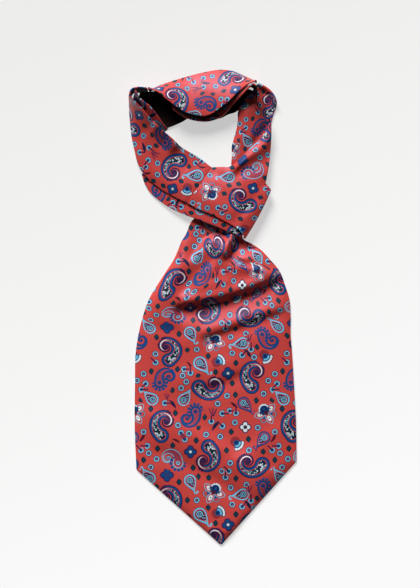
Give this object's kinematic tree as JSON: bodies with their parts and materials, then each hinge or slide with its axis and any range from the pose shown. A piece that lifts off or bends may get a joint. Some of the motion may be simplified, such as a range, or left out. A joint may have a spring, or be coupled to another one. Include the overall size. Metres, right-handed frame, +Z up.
{
  "type": "silk cravat",
  "caption": "Silk day cravat tied once and laid flat: a folded neckband loop, a crossing that wraps the throat, and a wide gathered blade with a pointed end.",
  "frame": {"origin": "on the table, under the middle of the cravat's bounding box", "axes": "+Z up from the table, +Y from the pointed end to the neck loop, +X to the right as the cravat is seen from above with the loop at the top"},
  "size_m": [0.1611, 0.4554, 0.0266],
  "materials": {
    "printed_silk": "satin printed silk twill, paisley on coral red",
    "dark_lining": "dark plain cloth, in shade"
  },
  "bodies": {
    "root": {"neckband_left": "printed_silk", "neckband_left_inner_ply": "printed_silk", "neckband_left_outer_ply": "printed_silk", "neckband_back": "printed_silk", "neckband_back_ply": "printed_silk", "neckband_right": "printed_silk", "neckband_lining": "dark_lining", "crossing": "printed_silk", "crossing_ply": "printed_silk", "blade_front": "printed_silk", "blade_rear": "printed_silk"}
  },
  "joints": []
}
